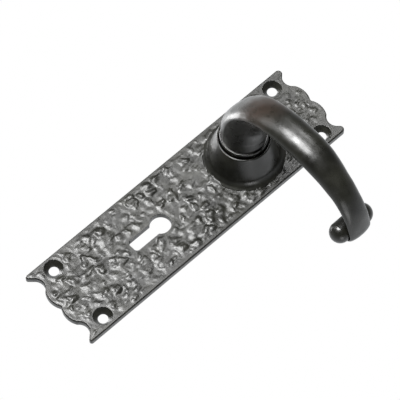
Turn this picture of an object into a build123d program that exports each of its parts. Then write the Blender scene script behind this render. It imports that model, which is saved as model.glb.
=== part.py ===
from build123d import *
from math import cos, degrees, radians, sin
import os

# Sprung door lever on a long cast backplate, as mounted on a door.
# Frame: the origin is on the spindle axis at the door's face, X points along the lever,
# Z is up the door, and the front of the handle faces -Y.
# "Out" below is the distance in front of the door's face, so it is -Y.

# Driving dimensions, mm
key_centres = 57.0          # spindle to the round of the keyhole
plate_width = 48.7
plate_thick = 3.4
hole_across = 35.8          # fixing screw holes, centre to centre
hole_along = 148.6
pattern_z = -37.55          # middle of the fixing holes
outline_z = -38.3           # middle of the cast outline
lobe_reach = 86.4           # outline's middle to the tops of the lobes

boss_foot_r = 21.0
boss_top = 21.1
boss_top_r = 13.6
recess_r = 12.75            # round well in the top of the boss, holding the lever's collar
recess_floor = 18.5
cavity_r = 13.9             # hollow behind the boss, holding the spring
cavity_top = 13.1
bush_r = 9.5
shank_r = 7.5
spindle_across_flats = 8.1  # square socket for an 8 mm spindle
lever_travel = 45.0         # degrees

collar_bottom = 19.4
collar_top = 24.0
collar_r = 12.2
neck_r = 11.2
scroll_x, scroll_out = 74.5, 32.0
scroll_core_r = 5.5
curl_r = 6.6                # from the scroll's axis to the middle of the rolled end

drive_back, drive_front = 4.4, 5.9
pin_circle_r = 12.45
stop_pin_r = 1.25
post_circle_r = 12.05
post_r = 1.1
wire_r = 0.8
coil_r = 10.1
coil_turns = 2.75
coil_pitch = 1.85
lug_angle = -60.0           # where the drive plate's lug points at rest
lug_width = 6.4

pin_depth = 4.0             # how far the pins are pressed into the web
pin_stand = 2.2
leg_reach = 13.3
coil_back = drive_front + 0.25 + wire_r
leg_angle = lug_angle - degrees((post_r + wire_r + 0.02) / post_circle_r)
anchor_angle = leg_angle + 360 * coil_turns - degrees((post_r + wire_r + 0.02) / pin_circle_r)
lug_reach = 13.3
lug_clear = degrees((lug_width / 2 + stop_pin_r + 0.15) / pin_circle_r)
stop_angles = (lug_angle + lug_clear, lug_angle - lever_travel - lug_clear)

running_gap = 0.05
shank_end = 2.0
tail_r = 7.2                # shank behind the drive plate's shoulder
flat_half = 6.2
groove_r = 6.55
sleeve_r = 9.1
clip_back, clip_thick, clip_play, clip_r = 2.8, 1.0, 0.04, 8.6
socket_depth = 25.0

# Grip: where its middle line is along X and out from the door, its half width and half thickness
grip_stations = [
    (0.0, 33.0, 11.2, 11.2),
    (3.4, 43.9, 10.3, 9.2),
    (10.6, 54.9, 9.3, 7.6),
    (21.0, 62.3, 8.9, 6.4),
    (35.5, 65.7, 8.9, 6.0),
    (50.5, 64.5, 8.6, 5.8),
    (63.0, 58.3, 7.4, 4.9),
    (70.8, 52.3, 6.9, 3.9),
    (75.6, 46.2, 6.8, 3.1),
    (78.7, 39.9, 6.8, 2.3),
]
curl_start = 22.0           # degrees above the scroll's axis where the roll begins
curl_thick = 1.5            # half thickness of the rolled end
curl_turn = 190.0
core_half = 7.3             # from the grip's middle plane to the centre of each ball end
grip_stations.append((
    scroll_x + curl_r * cos(radians(curl_start)),
    scroll_out + curl_r * sin(radians(curl_start)),
    grip_stations[-1][2],
    curl_thick,
))

screw_hole_r, screw_rim_r, screw_land = 2.6, 4.9, 0.5
key_round_r, key_slot_half, key_slot_bottom = 5.5, 3.5, 76.1
cover_r, cover_thick, cover_hole_r = 19.3, 1.5, 8.2
cover_screw_circle_r, cover_screw_r, cover_head_r, cover_screw_end = 16.6, 1.25, 2.35, 5.2

door_face = Plane.XZ        # its normal is -Y, towards the front


def on_circle(radius, angle):
    """Point at this radius and angle in a plane parallel to the door."""
    return (radius * cos(radians(angle)), radius * sin(radians(angle)))


# Backplate: the flat casting, its scalloped ends, and the bell-shaped boss
def plate_end(way, horn_rise):
    """One end of the outline's right-hand half, from the middle notch to the side."""
    top = outline_z + way * lobe_reach
    notch, lobe, lobe_end = (0, top - way * 1.7), (6.6, top), (11.6, top - way * 1.6)
    horn_root = (20.1, top - way * 2.2)
    horn = (plate_width / 2, top + way * horn_rise)
    slope = (horn_root[0] - horn[0], horn_root[1] - horn[1])
    ThreePointArc(notch, lobe, lobe_end)
    TangentArc(horn_root, lobe_end, tangent=slope)
    Line(horn_root, horn)
    return notch, horn


def round_uprights(from_x, to_x, low_end, radius):
    """Round the plate's upright corners at this distance from its middle line, at one end."""
    corners = backplate.edges().filter_by(Axis.Y)
    corners = corners.filter_by(lambda e: from_x < abs(e.center().X) < to_x)
    corners = corners.filter_by(lambda e: (e.center().Z < outline_z) == low_end)
    fillet(corners, radius)


with BuildPart() as backplate:
    with BuildSketch(door_face):
        with BuildLine():
            low_notch, low_horn = plate_end(-1, 2.3)
            high_notch, high_horn = plate_end(1, 2.6)
            Line(low_horn, high_horn)
            Line(low_notch, high_notch)
        make_face()
        mirror(about=Plane.YZ)
    extrude(amount=plate_thick)
    for low_end, horn_round in ((True, 1.2), (False, 2.0)):
        round_uprights(-1, 1, low_end, 1.2)
        round_uprights(11, 12, low_end, 2.5)
        round_uprights(24, 25, low_end, horn_round)
    fillet(backplate.faces().sort_by(Axis.Y)[0].edges(), 0.9)
    with BuildSketch(Plane.XY) as bell:
        with BuildLine():
            foot = (boss_foot_r, -plate_thick)
            waist = (17.6, -8.4)
            rim = (boss_top_r + 0.3, -boss_top + 0.7)
            Line((0, 0), (boss_foot_r, 0))
            Line((boss_foot_r, 0), foot)
            ThreePointArc(foot, (18.7, -5.3), waist)
            Line(waist, rim)
            ThreePointArc(rim, (boss_top_r - 0.05, -boss_top + 0.15), (boss_top_r - 0.4, -boss_top))
            Line((boss_top_r - 0.4, -boss_top), (0, -boss_top))
            Line((0, -boss_top), (0, 0))
        make_face()
    revolve(axis=Axis.Y)
    # the well for the collar, the bush's seat, the spring's cavity and the cover's recess
    for radius, bottom, top in (
        (recess_r, recess_floor, boss_top + 1),
        (bush_r, cavity_top, recess_floor),
        (cavity_r, cover_thick, cavity_top),
        (cover_r + 0.2, 0, cover_thick + 0.1),
    ):
        with BuildSketch(door_face.offset(bottom)):
            Circle(radius)
        extrude(amount=top - bottom, mode=Mode.SUBTRACT)
    # blind holes for the pins and the cover's screws
    with BuildSketch(door_face.offset(cavity_top)):
        for angle in stop_angles:
            with Locations(on_circle(pin_circle_r, angle)):
                Circle(stop_pin_r)
        with Locations(on_circle(pin_circle_r, anchor_angle)):
            Circle(post_r)
    extrude(amount=pin_depth, mode=Mode.SUBTRACT)
    with BuildSketch(door_face.offset(cover_thick)):
        with PolarLocations(cover_screw_circle_r, 3, start_angle=90):
            Circle(cover_screw_r)
    extrude(amount=cover_screw_end - cover_thick + 0.2, mode=Mode.SUBTRACT)
    # countersunk fixing holes, each with a short straight land under the face
    with Locations(door_face.offset(plate_thick - screw_land)):
        with Locations((0, pattern_z)):
            with GridLocations(hole_across, hole_along, 2, 2):
                CounterSinkHole(screw_hole_r, screw_rim_r, depth=plate_thick)
    with BuildSketch(door_face.offset(plate_thick - screw_land)):
        with Locations((0, pattern_z)):
            with GridLocations(hole_across, hole_along, 2, 2):
                Circle(screw_rim_r)
    extrude(amount=screw_land, mode=Mode.SUBTRACT)
    # keyhole: a round with a slot below it
    with BuildSketch(door_face):
        with Locations((0, -key_centres)):
            Circle(key_round_r)
        slot_length = key_slot_bottom - key_centres
        with Locations((0, -key_centres - slot_length / 2)):
            slot = Rectangle(2 * key_slot_half, slot_length)
        fillet(slot.vertices().group_by(Axis.Y)[0], 2.0)
    extrude(amount=plate_thick, mode=Mode.SUBTRACT)
backplate.part.label = "backplate"

# Bush pressed through the web of the boss
with BuildPart() as boss_bush:
    with BuildSketch(door_face.offset(cavity_top)):
        Circle(bush_r)
        Circle(shank_r + running_gap, mode=Mode.SUBTRACT)
    extrude(amount=recess_floor - cavity_top)
boss_bush.part.label = "boss_bush"

# Thin washer in the boss's well, under the lever's collar
with BuildPart() as thrust_washer:
    with BuildSketch(door_face.offset(recess_floor)):
        Circle(collar_r - 0.2)
        Circle(shank_r + 0.3, mode=Mode.SUBTRACT)
    extrude(amount=collar_bottom - recess_floor - 0.1)
thrust_washer.part.label = "thrust_washer"

# Lever: shank, collar, neck, grip and rolled end in one casting
neck_end = grip_stations[0][1]
with BuildPart() as lever:
    with BuildSketch(Plane.XY):
        with BuildLine():
            Polyline(
                (0, -shank_end), (tail_r, -shank_end), (tail_r, -drive_front), (shank_r, -drive_front),
                (shank_r, -collar_bottom), (collar_r, -collar_bottom), (collar_r, -collar_top + 0.6),
                (collar_r - 0.6, -collar_top), (neck_r, -collar_top), (neck_r, -neck_end),
                (0, -neck_end), (0, -shank_end),
            )
        make_face()
    revolve(axis=Axis.Y)
    # flats that carry the drive plate, and the groove for the circlip
    with BuildSketch(door_face.offset(shank_end)):
        with Locations((flat_half + 2, 0), (-flat_half - 2, 0)):
            Rectangle(4, 4 * shank_r)
    extrude(amount=drive_front - shank_end, mode=Mode.SUBTRACT)
    with BuildSketch(door_face.offset(clip_back - clip_play)):
        Circle(shank_r + 1)
        Circle(groove_r, mode=Mode.SUBTRACT)
    extrude(amount=clip_thick + 2 * clip_play, mode=Mode.SUBTRACT)
    # the grip is lofted along its bent middle line
    middle = [Vector(along, -out, 0) for along, out, _, _ in grip_stations]
    start_turn = radians(curl_start)
    curl_way = Vector(sin(start_turn), cos(start_turn), 0)
    line = Spline(*middle, tangents=[(0, -1, 0), curl_way])
    for point, (_, _, half_width, half_thick) in zip(middle, grip_stations):
        way = line.tangent_at(line.param_at_point(point))
        with BuildSketch(Plane(origin=point, x_dir=(0, 0, 1), z_dir=way)):
            Ellipse(half_width, half_thick)
    loft()
    # the end rolls round the scroll's ball-ended core
    with BuildSketch(Plane(origin=middle[-1], x_dir=(0, 0, 1), z_dir=curl_way)):
        Ellipse(grip_stations[-1][2], grip_stations[-1][3])
    revolve(axis=Axis((scroll_x, -scroll_out, 0), (0, 0, 1)), revolution_arc=curl_turn)
    with Locations((scroll_x, -scroll_out, 0)):
        Cylinder(scroll_core_r, 2 * core_half)
    with Locations((scroll_x, -scroll_out, core_half), (scroll_x, -scroll_out, -core_half)):
        Sphere(scroll_core_r)
    with BuildSketch(door_face.offset(shank_end)):
        Rectangle(spindle_across_flats, spindle_across_flats)
    extrude(amount=socket_depth, mode=Mode.SUBTRACT)
lever.part.label = "lever"

# Sleeve round the shank, inside the spring's coils, which keeps the drive plate off the web
with BuildPart() as spring_sleeve:
    with BuildSketch(door_face.offset(drive_front)):
        Circle(sleeve_r)
        Circle(shank_r, mode=Mode.SUBTRACT)
    extrude(amount=cavity_top - drive_front - 0.1)
spring_sleeve.part.label = "spring_sleeve"

# Drive plate: fits the shank's flats; its lug moves between the stop pins
with BuildPart() as drive_plate:
    with BuildSketch(door_face.offset(drive_back)):
        Circle(9.7)
        with Locations(Location((0, 0), lug_angle)):
            with Locations((lug_reach / 2, 0)):
                Rectangle(lug_reach, lug_width)
        with BuildSketch(mode=Mode.SUBTRACT):
            Circle(tail_r)
            Rectangle(2 * flat_half, 4 * tail_r, mode=Mode.INTERSECT)
        with Locations(on_circle(post_circle_r, lug_angle)):
            Circle(post_r, mode=Mode.SUBTRACT)
    extrude(amount=drive_front - drive_back)
drive_plate.part.label = "drive_plate"

# Post standing on the drive plate's lug, which the spring's moving leg pushes
with BuildPart() as spring_post:
    with BuildSketch(door_face.offset(drive_back)):
        with Locations(on_circle(post_circle_r, lug_angle)):
            Circle(post_r)
    extrude(amount=drive_front + pin_stand - drive_back)
spring_post.part.label = "spring_post"

# Pin pressed into the web, which the spring's fixed leg pushes
with BuildPart() as anchor_pin:
    with BuildSketch(door_face.offset(cavity_top - pin_stand)):
        with Locations(on_circle(pin_circle_r, anchor_angle)):
            Circle(post_r)
    extrude(amount=pin_stand + pin_depth)
anchor_pin.part.label = "anchor_pin"

# Two pins pressed into the web that stop the lug at the ends of its travel
with BuildPart() as stop_pins:
    with BuildSketch(door_face.offset(drive_back - 0.2)):
        for angle in stop_angles:
            with Locations(on_circle(pin_circle_r, angle)):
                Circle(stop_pin_r)
    extrude(amount=cavity_top + pin_depth - drive_back + 0.2)
stop_pins.part.label = "stop_pins"

# Return spring: a coil round the sleeve with a straight leg at each end
with BuildPart() as return_spring:
    coil_plane = Plane(
        origin=(0, -coil_back, 0), x_dir=(cos(radians(leg_angle)), 0, sin(radians(leg_angle))), z_dir=(0, -1, 0)
    )
    coil_line = Helix(coil_pitch, coil_pitch * coil_turns, coil_r).moved(coil_plane.location)
    with BuildSketch(Plane(origin=coil_line @ 0, z_dir=coil_line % 0)):
        Circle(wire_r)
    sweep(path=coil_line, is_frenet=True)
    for corner in (coil_line @ 0, coil_line @ 1):
        outward = Vector(corner.X, 0, corner.Z).normalized()
        with Locations(corner):
            Sphere(wire_r)
        with BuildSketch(Plane(origin=corner, z_dir=outward)):
            Circle(wire_r)
        extrude(amount=leg_reach - coil_r)
return_spring.part.label = "return_spring"

# Dished spring washer between the drive plate and the circlip
with BuildPart() as dished_washer:
    with BuildSketch(Plane.XY):
        clip_front = clip_back + clip_thick
        Polygon(
            (tail_r + 0.1, -drive_back), (tail_r + 0.1, -drive_back + 0.35),
            (9.0, -clip_front), (9.0, -clip_front - 0.35), align=None,
        )
    revolve(axis=Axis.Y)
dished_washer.part.label = "dished_washer"

# Circlip: an open ring with an eyed ear at each side of its gap
with BuildPart() as circlip:
    with BuildSketch(door_face.offset(clip_back)):
        Circle(clip_r)
        ear_places = [on_circle(clip_r + 0.3, 90 + side * 17) for side in (-1, 1)]
        with Locations(*ear_places):
            Circle(1.5)
        Circle(groove_r + 0.05, mode=Mode.SUBTRACT)
        with Locations(*ear_places):
            Circle(0.6, mode=Mode.SUBTRACT)
        with Locations((0, clip_r)):
            Rectangle(2.2, 8, mode=Mode.SUBTRACT)
    extrude(amount=clip_thick)
circlip.part.label = "circlip"

# Cover over the spring's cavity, flush with the door's face
with BuildPart() as rear_cover:
    with BuildSketch(door_face.offset(0.1)):
        Circle(cover_r)
        Circle(cover_hole_r, mode=Mode.SUBTRACT)
    extrude(amount=cover_thick)
    with Locations(Plane(origin=(0, -0.1, 0), x_dir=(1, 0, 0), z_dir=(0, 1, 0))):
        with PolarLocations(cover_screw_circle_r, 3, start_angle=-90):
            CounterSinkHole(cover_screw_r, cover_head_r, depth=cover_thick)
rear_cover.part.label = "rear_cover"

# Three countersunk screws that hold the cover
with BuildPart() as cover_screws:
    for angle in (90, 210, 330):
        along, up = on_circle(cover_screw_circle_r, angle)
        with BuildSketch(Plane(origin=(along, 0, up), x_dir=(1, 0, 0), z_dir=(0, 0, 1))):
            Polygon(
                (0, -0.1), (cover_head_r, -0.1), (cover_screw_r, -0.1 - cover_head_r + cover_screw_r),
                (cover_screw_r, -cover_screw_end), (0, -cover_screw_end), align=None,
            )
        revolve(axis=Axis((along, 0, up), (0, 1, 0)))
        with BuildSketch(door_face.offset(0.1)):
            with Locations((along, up)):
                Rectangle(2.6, 0.6)
                Rectangle(0.6, 2.6)
        extrude(amount=0.8, mode=Mode.SUBTRACT)
cover_screws.part.label = "cover_screws"

os.makedirs("parts", exist_ok=True)
for piece in (
    backplate, boss_bush, thrust_washer, lever, spring_sleeve, drive_plate, spring_post,
    anchor_pin, stop_pins, return_spring, dished_washer, circlip, rear_cover, cover_screws,
):
    export_step(piece.part, f"parts/{piece.part.label}.step")
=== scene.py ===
import bpy
from math import cos, pi, radians, sin
from mathutils import Matrix, Vector, kdtree, noise


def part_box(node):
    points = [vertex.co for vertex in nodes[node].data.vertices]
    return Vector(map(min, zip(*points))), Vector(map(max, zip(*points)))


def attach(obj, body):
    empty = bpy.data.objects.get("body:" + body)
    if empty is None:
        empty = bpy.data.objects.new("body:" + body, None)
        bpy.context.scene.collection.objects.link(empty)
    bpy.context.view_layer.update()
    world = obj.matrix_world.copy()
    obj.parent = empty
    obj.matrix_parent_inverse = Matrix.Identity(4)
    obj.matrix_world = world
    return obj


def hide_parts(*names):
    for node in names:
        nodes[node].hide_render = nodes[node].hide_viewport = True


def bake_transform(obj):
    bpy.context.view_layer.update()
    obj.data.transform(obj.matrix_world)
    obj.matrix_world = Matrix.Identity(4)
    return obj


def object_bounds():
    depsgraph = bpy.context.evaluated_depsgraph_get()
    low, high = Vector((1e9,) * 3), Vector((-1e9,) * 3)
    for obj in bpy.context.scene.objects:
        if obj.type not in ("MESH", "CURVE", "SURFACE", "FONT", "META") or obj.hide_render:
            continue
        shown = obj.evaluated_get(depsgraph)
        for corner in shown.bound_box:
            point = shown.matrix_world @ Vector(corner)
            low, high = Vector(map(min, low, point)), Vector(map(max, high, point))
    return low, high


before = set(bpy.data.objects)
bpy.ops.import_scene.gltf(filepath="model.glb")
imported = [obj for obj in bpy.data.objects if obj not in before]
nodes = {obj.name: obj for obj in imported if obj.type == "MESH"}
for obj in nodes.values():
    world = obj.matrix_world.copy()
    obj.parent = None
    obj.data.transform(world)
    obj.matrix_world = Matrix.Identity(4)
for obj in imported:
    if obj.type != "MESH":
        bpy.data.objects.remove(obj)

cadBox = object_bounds()
mm = 0.001
bpy.ops.object.select_all(action="DESELECT")


# camera and light

view = {
    "place": (0.5298, -1.3076, -0.5171),
    "back": (0.3538, -0.8770, -0.3251),
    "up": (-0.6362, -0.4804, 0.6037),
    "lens": 270.0,
}


def makeCamera():
    bpy.ops.object.camera_add()
    camera = bpy.context.object
    back = Vector(view["back"]).normalized()
    right = Vector(view["up"]).cross(back).normalized()
    up = back.cross(right)
    turn = Matrix((right, up, back)).transposed().to_4x4()
    camera.matrix_world = Matrix.Translation(view["place"]) @ turn
    camera.data.lens = view["lens"]
    camera.data.sensor_width = 36.0
    bpy.context.scene.camera = camera


lights = [  # direction from the handle in its own frame, distance and sizes in metres
    {"name": "softbox", "way": (-0.26, -0.94, -0.11), "away": 1.5, "wide": 0.80, "tall": 0.54, "watts": 54.0},
    {"name": "sideFill", "way": (-0.80, -0.60, -0.20), "away": 1.0, "wide": 0.3, "tall": 0.5, "watts": 1.5},
    {"name": "leftGlow", "way": (-0.88, 0.38, -0.15), "away": 1.0, "wide": 0.5, "tall": 0.5, "watts": 7.0},
    {"name": "topFill", "way": (-0.30, -0.80, 0.50), "away": 1.6, "wide": 0.55, "tall": 0.30, "watts": 7.5},
    {"name": "endFill", "way": (0.90, 0.10, -0.42), "away": 1.0, "wide": 0.4, "tall": 0.4, "watts": 1.8},
]


def makeLights():
    lo, hi = cadBox
    middle = (lo + hi) / 2
    for light in lights:
        way = Vector(light["way"]).normalized()
        bpy.ops.object.light_add(type="AREA", location=middle + way * light["away"])
        lamp = bpy.context.object
        lamp.name = light["name"]
        lamp.data.energy = light["watts"]
        lamp.data.shape = "RECTANGLE"
        lamp.data.size = light["wide"]
        lamp.data.size_y = light["tall"]
        lamp.rotation_mode = "QUATERNION"
        lamp.rotation_quaternion = way.to_track_quat("Z", "Y")


studio = {
    "backdrop": 1.0,
    "front": 0.10,
    "behind": 1.25,
    "glowFrom": (-0.3, 0.6),  # y of the way looked, where the room is dim and where it is bright
    "floorDrop": 1.8,
    "floorGlow": 0.62,
    "floorSize": 60.0,
}


def makeStudio():
    world = bpy.data.worlds.new("studio")
    bpy.context.scene.world = world
    world.use_nodes = True
    tree = world.node_tree
    seen = tree.nodes["Background"]
    seen.inputs["Color"].default_value = (1, 1, 1, 1)
    seen.inputs["Strength"].default_value = studio["backdrop"]
    around = tree.nodes.new("ShaderNodeBackground")
    around.inputs["Color"].default_value = (0.96, 0.98, 1.0, 1)
    # the paper behind the handle glows, and the room in front is dim
    way = tree.nodes.new("ShaderNodeTexCoord")
    parts = tree.nodes.new("ShaderNodeSeparateXYZ")
    glow = tree.nodes.new("ShaderNodeMapRange")
    glow.inputs["From Min"].default_value = studio["glowFrom"][0]
    glow.inputs["From Max"].default_value = studio["glowFrom"][1]
    glow.inputs["To Min"].default_value = studio["front"]
    glow.inputs["To Max"].default_value = studio["behind"]
    tree.links.new(way.outputs["Generated"], parts.inputs[0])
    tree.links.new(parts.outputs["Y"], glow.inputs["Value"])
    tree.links.new(glow.outputs["Result"], around.inputs["Strength"])
    ray = tree.nodes.new("ShaderNodeLightPath")
    mix = tree.nodes.new("ShaderNodeMixShader")
    tree.links.new(ray.outputs["Is Camera Ray"], mix.inputs[0])
    tree.links.new(around.outputs[0], mix.inputs[1])
    tree.links.new(seen.outputs[0], mix.inputs[2])
    tree.links.new(mix.outputs[0], tree.nodes["World Output"].inputs["Surface"])
    bpy.ops.mesh.primitive_plane_add(
        size=studio["floorSize"], location=(0, 0, -studio["floorDrop"]),
    )
    floorSheet = bpy.context.object
    floorSheet.name = "floor"
    paper = bpy.data.materials.new("paleFloor")
    paper.use_nodes = True
    shader = paper.node_tree.nodes["Principled BSDF"]
    shader.inputs["Base Color"].default_value = (0.9, 0.9, 0.9, 1)
    shader.inputs["Roughness"].default_value = 0.8
    shader.inputs["Emission Color"].default_value = (1, 1, 1, 1)
    shader.inputs["Emission Strength"].default_value = studio["floorGlow"]
    floorSheet.data.materials.append(paper)
    floorSheet.visible_glossy = False  # its glow stays off the iron
    floorSheet.visible_diffuse = False
    bpy.context.scene.view_settings.view_transform = "Standard"


makeCamera()
makeLights()
makeStudio()
print("camera, lights and floor made")


# helpers for modelling

def only(*objects):
    bpy.ops.object.select_all(action="DESELECT")
    for thing in objects:
        thing.select_set(True)
    bpy.context.view_layer.objects.active = objects[0]


def settle(thing):  # its place and turn go into the mesh
    only(thing)
    bpy.ops.object.transform_apply(location=True, rotation=True, scale=True)


def smoothStep(value, low, high):
    share = min(max((value - low) / (high - low), 0.0), 1.0)
    return share * share * (3.0 - 2.0 * share)


def stray(spot):  # a smooth wandering vector, the same on every run
    return Vector((
        noise.noise(spot + Vector((9.3, -1.5, -7.9))),
        noise.noise(spot),
        noise.noise(spot + Vector((6.3, 0.1, -2.7))),
    ))


def castCopy(node, name):  # a merged copy of a CAD node, free to be cut and shaped
    source = nodes[node]
    copy = source.copy()
    copy.data = source.data.copy()
    copy.name = name
    for key in list(copy.keys()):
        del copy[key]
    copy.parent = None
    bpy.context.collection.objects.link(copy)
    only(copy)
    bpy.ops.object.mode_set(mode="EDIT")
    bpy.ops.mesh.select_all(action="SELECT")
    bpy.ops.mesh.remove_doubles(threshold=0.001 * mm)
    bpy.ops.object.mode_set(mode="OBJECT")
    return copy


def applied(thing, kind, **settings):
    only(thing)
    modifier = thing.modifiers.new(kind.lower(), kind)
    for key, value in settings.items():
        setattr(modifier, key, value)
    bpy.ops.object.modifier_apply(modifier=modifier.name)


def combined(thing, other, how):
    applied(thing, "BOOLEAN", operation=how, object=other, solver="MANIFOLD")
    bpy.data.objects.remove(other)


def smoothed(thing, angle):
    only(thing)
    bpy.ops.object.shade_smooth_by_angle(angle=radians(angle), keep_sharp_edges=False)


# backplate: hammered face, smooth margins and a plain boss, one casting

plate = {
    "face": 3.4,                        # front face, mm out from the door
    "skin": 0.06,                       # how far under the face the dense skin starts
    "cell": 0.42,
    "slab": 6.0,
    "footReach": 20.9,                  # the boss is cut from the casting at this radius
    "footSunk": 0.5,                    # how far under the face the boss starts
    "cutLong": 60.0,
    "cutSides": 128,
    "bossFrom": 4.2,                    # the boss is painted smooth past this far out
    "margin": (0.3, 2.7),               # the relief rises between these gaps from edges and holes
    "warps": ((5.0, 2.2), (2.1, 0.9)),  # size and strength of what bends the lumps' outlines
    "stones": 4.1,                      # spacing of the large lumps, mm
    "stoneRise": 0.84,
    "stoneSteep": 1.7,
    "stoneBare": 0.04,                  # share of the lumps left out
    "stoneFine": 0.4,                   # how much smaller they are where the lumps are fine
    "stoneLow": 0.45,                   # and how much lower
    "grains": 2.2,
    "grainRise": 0.30,
    "grainSteep": 1.8,
    "grainBare": 0.20,
    "grainFine": 0.2,
    "grainWarp": 0.6,                   # share of the large lumps' warp
    "swell": 0.32,
    "swellSizes": (8.0, 3.2),
    "pits": 0.03,
    "pitSize": 0.8,
    "lumpReach": (0.55, 0.35),          # least, and what a random draw adds
    "lumpTop": (0.35, 0.50),
    "lumpTilt": 2.3,
    "fineFrom": (12.0, 30.0),           # between these heights the lumps get finer
    "sharpAngle": 50,
}


def lumps(spot, steep, bare):  # angular lumps with tilted tops, butted or apart
    least, more = plate["lumpReach"]
    low, high = plate["lumpTop"]
    best = 0.0
    for centre in noise.voronoi(spot)[1]:
        draw = noise.cell(centre * 37.7 + Vector((3.1, 1.7, 9.2)))
        if draw < bare:
            continue
        lean = noise.cell_vector(centre * 23.3 + Vector((7.9, 2.3, 5.1)))
        tilt = lean - Vector((0.5, 0.5, 0.5))
        reach = least + more * noise.cell(centre * 51.1)
        top = low + high * draw + plate["lumpTilt"] * tilt.dot(spot - centre)
        side = steep * (reach - (spot - centre).length)
        best = max(best, min(top, side))
    return best


def hammeredHeight(x, z):  # height of the hammered face over the flat, in mm
    point = Vector((x, z, 0.0))
    (wide, far), (close, near) = plate["warps"]
    warp = stray(point / wide) * far + stray(point / close) * near
    warp.z = 0.0
    fine = smoothStep(z, *plate["fineFrom"])
    stoneSize = plate["stones"] * (1 - plate["stoneFine"] * fine)
    grainSize = plate["grains"] * (1 - plate["grainFine"] * fine)
    grainSpot = point + warp * plate["grainWarp"] + Vector((40, 9, 0))
    stones = lumps((point + warp) / stoneSize, plate["stoneSteep"], plate["stoneBare"])
    grains = lumps(grainSpot / grainSize, plate["grainSteep"], plate["grainBare"])
    broad = noise.noise(point / plate["swellSizes"][0] + Vector((5, 2, 8)))
    swell = broad + noise.noise(point / plate["swellSizes"][1] + Vector((1, 7, 3)))
    pits = noise.noise(point / plate["pitSize"])
    rise = plate["stoneRise"] * (1 - plate["stoneLow"] * fine)
    height = rise * stones + plate["grainRise"] * grains
    return height + plate["swell"] * swell + plate["pits"] * pits


def makeBackplate():
    face = -plate["face"] * mm
    lo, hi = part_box("backplate")
    casting = castCopy("backplate", "backplate_casting")
    boss = castCopy("backplate", "boss")
    # a slab whose front is a fine grid gives the plate its dense skin
    middle = (lo + hi) / 2
    wide, tall = hi.x - lo.x + 2 * mm, hi.z - lo.z + 2 * mm
    bpy.ops.mesh.primitive_grid_add(
        x_subdivisions=round(wide / mm / plate["cell"]),
        y_subdivisions=round(tall / mm / plate["cell"]),
        size=1, location=(middle.x, face + plate["skin"] * mm, middle.z), rotation=(pi / 2, 0, 0),
    )
    slab = bpy.context.object
    slab.scale = (wide, tall, 1)
    settle(slab)
    bpy.ops.object.mode_set(mode="EDIT")
    bpy.ops.mesh.select_all(action="SELECT")
    bpy.ops.mesh.extrude_region_move(TRANSFORM_OT_translate={"value": (0, plate["slab"] * mm, 0)})
    bpy.ops.mesh.select_all(action="SELECT")
    bpy.ops.mesh.normals_make_consistent(inside=False)
    bpy.ops.object.mode_set(mode="OBJECT")
    combined(casting, slab, "INTERSECT")
    half = plate["cutLong"] / 2
    bpy.ops.mesh.primitive_cylinder_add(
        vertices=plate["cutSides"], radius=plate["footReach"] * mm, depth=plate["cutLong"] * mm,
        location=(0, face + (plate["footSunk"] - half) * mm, 0), rotation=(pi / 2, 0, 0),
    )
    combined(boss, bpy.context.object, "INTERSECT")
    hammer(casting)
    combined(casting, boss, "UNION")
    smoothed(casting, plate["sharpAngle"])
    applied(casting, "WEIGHTED_NORMAL", keep_sharp=True)
    print("backplate made,", len(casting.data.polygons), "faces")
    return casting


def hammer(casting):  # raises the relief on the dense skin, fading out at the margins
    mesh = casting.data
    level = -(plate["face"] - plate["skin"]) * mm
    skin = {v.index for v in mesh.vertices if abs(v.co.y - level) < 0.005 * mm}
    rim = set()
    for face in mesh.polygons:
        if any(i not in skin for i in face.vertices):
            rim.update(i for i in face.vertices if i in skin)
    edges = kdtree.KDTree(len(rim))
    for i in rim:
        edges.insert(mesh.vertices[i].co, i)
    edges.balance()
    for i in skin:
        point = mesh.vertices[i].co
        gap = edges.find(point)[2] / mm
        fade = smoothStep(gap, *plate["margin"])
        point.y -= fade * hammeredHeight(point.x / mm, point.z / mm) * mm


casting = makeBackplate()
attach(casting, "plate")
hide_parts("backplate")


# lever: neck, D-shaped grip and rolled end round a ball-ended core, one casting

grip = {
    "sides": 88,
    "rings": 190,
    "tailTop": 23.9,             # the shank and collar below this come from the CAD casting
    "scroll": (74.5, 32.0),      # the core's axis, mm along and out
    "curlReach": (6.6, 0.7),     # at the start of the curl, and what it loses by the tip
    "curlWide": (6.8, 0.5),
    "curlThick": (1.6, 0.6),
    "curlCrease": -0.3,
    "curlTuck": 0.06,
    "curlFrom": 22.0,            # degrees round the core
    "curlTo": -158.0,
    "curlSteps": 6,
    "undercut": 0.22,            # how soon the underside is tucked in below the crease
    "sharpAngle": 45,
    "coreReach": 5.5,
    "coreHalf": 7.3,
    "coreSides": 48,
    "socketWide": 8.16,
    "socketTop": 27.0,
    "wobble": 0.14,              # how far the hand-worked skin strays, mm
    "wobbleSize": 6.0,
    "wobbleFrom": (27.0, 36.0),  # and how far out it starts and is full
    "cutter": 60.0,
}

# along, out, half width, rise over and drop under the middle line, crease height, tuck
gripStations = [
    (0.0, 22.0, 11.2, 11.2, 11.2, 0.0, 0.0),
    (0.0, 27.0, 11.2, 11.2, 11.2, 0.8, 0.0),
    (0.3, 33.0, 11.2, 11.2, 11.2, 2.5, 0.0),
    (3.4, 43.9, 10.3, 9.2, 9.2, 4.6, 0.0),
    (10.6, 54.9, 9.3, 7.6, 7.6, 4.0, 0.17),
    (21.0, 62.3, 8.9, 6.4, 6.4, 2.1, 0.18),
    (35.5, 65.7, 8.9, 6.0, 6.0, 0.4, 0.16),
    (50.5, 64.5, 8.6, 5.8, 5.8, 0.0, 0.14),
    (63.0, 58.3, 7.4, 4.9, 4.9, -0.2, 0.12),
    (70.8, 52.3, 6.9, 3.9, 3.9, -0.3, 0.11),
    (75.6, 46.2, 6.8, 3.1, 3.1, -0.3, 0.10),
    (78.7, 39.9, 6.8, 2.3, 2.3, -0.3, 0.08),
]


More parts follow.
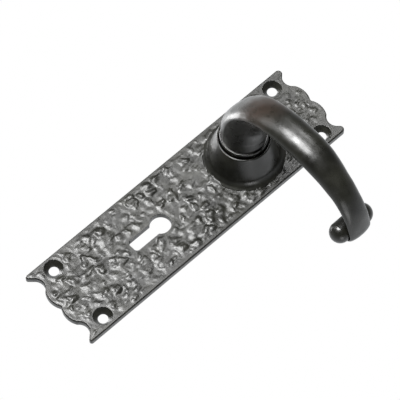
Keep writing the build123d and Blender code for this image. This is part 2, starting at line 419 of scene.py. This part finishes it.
def rolledStations():  # the strip goes on round the core and thins towards its tip
    along, out = grip["scroll"]
    steps = grip["curlSteps"]
    found = []
    for step in range(steps + 1):
        share = step / steps
        turn = radians(grip["curlFrom"] + share * (grip["curlTo"] - grip["curlFrom"]))
        reach, wide, thick = (
            grip[key][0] - grip[key][1] * share for key in ("curlReach", "curlWide", "curlThick")
        )
        found.append((
            along + reach * cos(turn), out + reach * sin(turn),
            wide, thick, thick, grip["curlCrease"], grip["curlTuck"],
        ))
    return found


def onLine(stations, share):  # values and their slopes on a smooth curve through the stations
    gaps = [
        ((b[0] - a[0]) ** 2 + (b[1] - a[1]) ** 2) ** 0.5
        for a, b in zip(stations, stations[1:])
    ]
    goal = share * sum(gaps)
    index = 0
    while index < len(gaps) - 1 and goal > gaps[index]:
        goal -= gaps[index]
        index += 1
    part = min(goal / gaps[index], 1.0)
    near = [stations[min(max(index + k, 0), len(stations) - 1)] for k in (-1, 0, 1, 2)]
    before = gaps[max(index - 1, 0)]
    after = gaps[min(index + 1, len(gaps) - 1)]
    here = gaps[index]
    values, slopes = [], []
    for a, b, c, d in zip(*near):
        leave = (c - a) / (before + here) * here
        arrive = (d - b) / (here + after) * here
        values.append(
            (2 * part ** 3 - 3 * part ** 2 + 1) * b + (part ** 3 - 2 * part ** 2 + part) * leave
            + (3 * part ** 2 - 2 * part ** 3) * c + (part ** 3 - part ** 2) * arrive
        )
        slopes.append(
            (6 * part ** 2 - 6 * part) * b + (3 * part ** 2 - 4 * part + 1) * leave
            + (6 * part - 6 * part ** 2) * c + (3 * part ** 2 - 2 * part) * arrive
        )
    return values, slopes


def makeGrip():
    stations = gripStations + rolledStations()
    bpy.ops.mesh.primitive_grid_add(
        x_subdivisions=grip["sides"], y_subdivisions=grip["rings"], size=1, location=(0, 0, 0),
    )
    strip = bpy.context.object
    strip.name = "grip"
    for vertex in strip.data.vertices:
        turn = 2 * pi * (vertex.co.x + 0.5)
        across, over = cos(turn), sin(turn)
        values, slopes = onLine(stations, vertex.co.y + 0.5)
        along, out, wide, rise, drop, crease, tuck = values
        way = Vector((slopes[0], slopes[1])).normalized()
        if over >= 0:
            side, height = wide * across, crease + (rise - crease) * over
        else:
            pinch = 1 - tuck * smoothStep(-over, 0.0, grip["undercut"])
            side, height = wide * across * pinch, crease + (drop + crease) * over
        # over the middle line is to the left of the way it runs
        spot = Vector((along - way.y * height, -(out + way.x * height), side))
        wobble = stray(spot / grip["wobbleSize"]) * grip["wobble"]
        vertex.co = (spot + wobble * smoothStep(-spot.y, *grip["wobbleFrom"])) * mm
    only(strip)
    bpy.ops.object.mode_set(mode="EDIT")
    bpy.ops.mesh.select_all(action="SELECT")
    bpy.ops.mesh.remove_doubles(threshold=0.002 * mm)
    bpy.ops.mesh.fill_holes(sides=0)
    bpy.ops.mesh.select_all(action="SELECT")
    bpy.ops.mesh.normals_make_consistent(inside=False)
    bpy.ops.object.mode_set(mode="OBJECT")
    return strip


def makeLever():
    lever = castCopy("lever", "lever_casting")
    middle = (0, (grip["cutter"] / 2 - grip["tailTop"]) * mm, 0)
    bpy.ops.mesh.primitive_cube_add(size=grip["cutter"] * mm, location=middle)
    combined(lever, bpy.context.object, "INTERSECT")
    strip = makeGrip()
    bpy.ops.mesh.primitive_cube_add(size=grip["socketWide"] * mm, location=(0, 0, 0))
    socket = bpy.context.object
    socket.scale = (1, 2.0, 1)
    socket.location = (0, -(grip["socketTop"] - grip["socketWide"]) * mm, 0)
    settle(socket)
    combined(strip, socket, "DIFFERENCE")
    along, out = grip["scroll"]
    bpy.ops.mesh.primitive_uv_sphere_add(
        segments=grip["coreSides"], ring_count=grip["coreSides"] // 2,
        radius=grip["coreReach"] * mm, location=(0, 0, 0),
    )
    core = bpy.context.object
    for vertex in core.data.vertices:  # the ball is parted into a round-ended bar
        if abs(vertex.co.z) > 0.001 * mm:
            vertex.co.z += (1 if vertex.co.z > 0 else -1) * grip["coreHalf"] * mm
        vertex.co += Vector((along * mm, -out * mm, 0))
    combined(strip, core, "UNION")
    combined(lever, strip, "UNION")
    smoothed(lever, grip["sharpAngle"])
    applied(lever, "WEIGHTED_NORMAL", keep_sharp=True)
    print("lever made,", len(lever.data.polygons), "faces")
    return lever


lever = makeLever()
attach(lever, "handle")
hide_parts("lever")


# return spring: its leg by the drive plate turns with the lever, the other stays on its pin; here the whole
# coil is one smoothed copy of the CAD spring, kept still

spring = {"stillFrom": 11.2, "turningTo": 7.8, "sharpAngle": 40}  # the first two in mm out


def makeSpring():
    coil = castCopy("return_spring", "return_spring_wire")
    smoothed(coil, spring["sharpAngle"])
    print("return spring made,", len(coil.data.polygons), "faces")
    return coil


coil = makeSpring()
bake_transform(coil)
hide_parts("return_spring")


# materials

def newMaterial(name):
    material = bpy.data.materials.new(name)
    material.use_nodes = True
    return material, material.node_tree, material.node_tree.nodes["Principled BSDF"]


def painted(thing, material):
    thing.data.materials.clear()
    thing.data.materials.append(material)
    for face in thing.data.polygons:
        face.material_index = 0


def objectPlace(tree):
    return tree.nodes.new("ShaderNodeTexCoord").outputs["Object"]


def mottle(tree, place, perMetre, detail=3.0, rough=0.6):  # a noise of this many cells per metre
    node = tree.nodes.new("ShaderNodeTexNoise")
    node.inputs["Scale"].default_value = perMetre
    node.inputs["Detail"].default_value = detail
    node.inputs["Roughness"].default_value = rough
    tree.links.new(place, node.inputs["Vector"])
    return node.outputs["Fac"]


def ramp(tree, value, low, high, stops):  # colours between two values
    node = tree.nodes.new("ShaderNodeValToRGB")
    first, last = node.color_ramp.elements
    first.position, last.position = low, high
    first.color, last.color = (*stops[0], 1), (*stops[-1], 1)
    for k, colour in enumerate(stops[1:-1], 1):
        middle = node.color_ramp.elements.new(low + (high - low) * k / (len(stops) - 1))
        middle.color = (*colour, 1)
    tree.links.new(value, node.inputs["Fac"])
    return node.outputs["Color"]


def spread(tree, value, low, high, fromLow=0.3, fromHigh=0.7):  # a value stretched to a range
    node = tree.nodes.new("ShaderNodeMapRange")
    node.inputs["From Min"].default_value = fromLow
    node.inputs["From Max"].default_value = fromHigh
    node.inputs["To Min"].default_value = low
    node.inputs["To Max"].default_value = high
    tree.links.new(value, node.inputs["Value"])
    return node.outputs["Result"]


def bumped(tree, shader, values, metres):  # several heights, one after another
    normal = None
    for value, strength in values:
        node = tree.nodes.new("ShaderNodeBump")
        node.inputs["Strength"].default_value = strength
        node.inputs["Distance"].default_value = metres
        tree.links.new(value, node.inputs["Height"])
        if normal:
            tree.links.new(normal, node.inputs["Normal"])
        normal = node.outputs["Normal"]
    tree.links.new(normal, shader.inputs["Normal"])


iron = {
    "dark": (0.0040, 0.0040, 0.0028),
    "mid": (0.0090, 0.0090, 0.0065),
    "light": (0.0170, 0.0170, 0.0130),
    "warm": (0.020, 0.012, 0.008),
    "plateRough": (0.30, 0.46),
    "leverRough": (0.25, 0.40),
    "bump": 0.08,                  # mm
    "warmAt": (12.0, -62.0, 0.0),  # handled bare at the elbow, mm
    "warmReach": 17.0,
}


def hammeredIron():
    material, tree, shader = newMaterial("hammeredBlackIron")
    place = objectPlace(tree)
    broad = mottle(tree, place, 130)
    fine = mottle(tree, place, 900, 4.0)
    grit = mottle(tree, place, 2600, 2.0)
    blacks = ramp(tree, broad, 0.3, 0.7, (iron["dark"], iron["mid"], iron["light"]))
    tree.links.new(blacks, shader.inputs["Base Color"])
    tree.links.new(spread(tree, fine, *iron["plateRough"]), shader.inputs["Roughness"])
    shader.inputs["Specular IOR Level"].default_value = 0.5
    bumped(tree, shader, ((fine, 0.22), (grit, 0.10)), iron["bump"] * mm)
    return material


def castIron():
    material, tree, shader = newMaterial("smoothBlackIron")
    place = objectPlace(tree)
    broad = mottle(tree, place, 60, 2.0)
    smear = mottle(tree, place, 260, 4.0)
    grit = mottle(tree, place, 1800, 3.0)
    blacks = ramp(tree, broad, 0.35, 0.75, (iron["dark"], iron["mid"], iron["light"]))
    # a faint brown wear at the elbow
    spot = tree.nodes.new("ShaderNodeMapping")
    spot.inputs["Scale"].default_value = [1 / (iron["warmReach"] * mm)] * 3
    spot.inputs["Location"].default_value = [-c / iron["warmReach"] for c in iron["warmAt"]]
    tree.links.new(place, spot.inputs["Vector"])
    ball = tree.nodes.new("ShaderNodeTexGradient")
    ball.gradient_type = "SPHERICAL"
    tree.links.new(spot.outputs["Vector"], ball.inputs["Vector"])
    worn = tree.nodes.new("ShaderNodeMath")
    worn.operation = "MULTIPLY"
    tree.links.new(ball.outputs["Fac"], worn.inputs[0])
    tree.links.new(spread(tree, smear, 0.5, 1.6), worn.inputs[1])
    mix = tree.nodes.new("ShaderNodeMixRGB")
    mix.inputs["Color2"].default_value = (*iron["warm"], 1)
    tree.links.new(worn.outputs["Value"], mix.inputs["Fac"])
    tree.links.new(blacks, mix.inputs["Color1"])
    tree.links.new(mix.outputs["Color"], shader.inputs["Base Color"])
    tree.links.new(spread(tree, smear, *iron["leverRough"]), shader.inputs["Roughness"])
    shader.inputs["Specular IOR Level"].default_value = 0.5
    bumped(tree, shader, ((smear, 0.35), (grit, 0.20)), iron["bump"] * mm)
    return material


def metal(name, dull, bright, roughness, perMetre, depth):
    material, tree, shader = newMaterial(name)
    place = objectPlace(tree)
    cloud = mottle(tree, place, perMetre)
    grain = mottle(tree, place, perMetre * 9, 4.0)
    shader.inputs["Metallic"].default_value = 1.0
    tree.links.new(ramp(tree, cloud, 0.3, 0.7, (dull, bright)), shader.inputs["Base Color"])
    tree.links.new(spread(tree, grain, *roughness), shader.inputs["Roughness"])
    bumped(tree, shader, ((grain, 0.3),), depth)
    return material


def nylon():
    material, tree, shader = newMaterial("nylon")
    place = objectPlace(tree)
    cloud = mottle(tree, place, 150)
    grain = mottle(tree, place, 1400, 3.0)
    whites = ramp(tree, cloud, 0.3, 0.7, ((0.60, 0.58, 0.52), (0.72, 0.70, 0.64)))
    tree.links.new(whites, shader.inputs["Base Color"])
    tree.links.new(spread(tree, grain, 0.38, 0.55), shader.inputs["Roughness"])
    shader.inputs["Subsurface Weight"].default_value = 0.1
    shader.inputs["Subsurface Radius"].default_value = (0.001, 0.001, 0.001)
    bumped(tree, shader, ((grain, 0.15),), 0.03 * mm)
    return material


bronze = metal("bronze", (0.36, 0.20, 0.08), (0.52, 0.31, 0.13), (0.22, 0.42), 160, 0.02 * mm)
zinc = metal("zincSteel", (0.50, 0.52, 0.55), (0.68, 0.70, 0.72), (0.26, 0.48), 120, 0.03 * mm)
plainSteel = metal("plainSteel", (0.32, 0.32, 0.33), (0.46, 0.46, 0.47), (0.25, 0.42), 200, 0.02 * mm)
springSteel = metal("springSteel", (0.10, 0.10, 0.11), (0.19, 0.19, 0.21), (0.25, 0.40), 260, 0.02 * mm)
whiteNylon = nylon()

hammered = hammeredIron()
smoothIron = castIron()
painted(casting, hammered)
casting.data.materials.append(smoothIron)
for face in casting.data.polygons:  # the boss is as smooth as the lever
    reach = (face.center.x ** 2 + face.center.z ** 2) ** 0.5
    if face.center.y < -plate["bossFrom"] * mm and reach < plate["footReach"] * mm:
        face.material_index = 1
painted(lever, smoothIron)
painted(coil, springSteel)
finishes = {
    "boss_bush": bronze, "thrust_washer": whiteNylon, "spring_sleeve": whiteNylon,
    "drive_plate": zinc, "rear_cover": zinc, "cover_screws": zinc,
    "spring_post": plainSteel, "anchor_pin": plainSteel, "stop_pins": plainSteel,
    "dished_washer": springSteel, "circlip": springSteel,
    "backplate": hammered, "lever": smoothIron, "return_spring": springSteel,
}
for name, finish in finishes.items():
    for slot in nodes[name].material_slots:
        slot.material = finish
print("materials made")
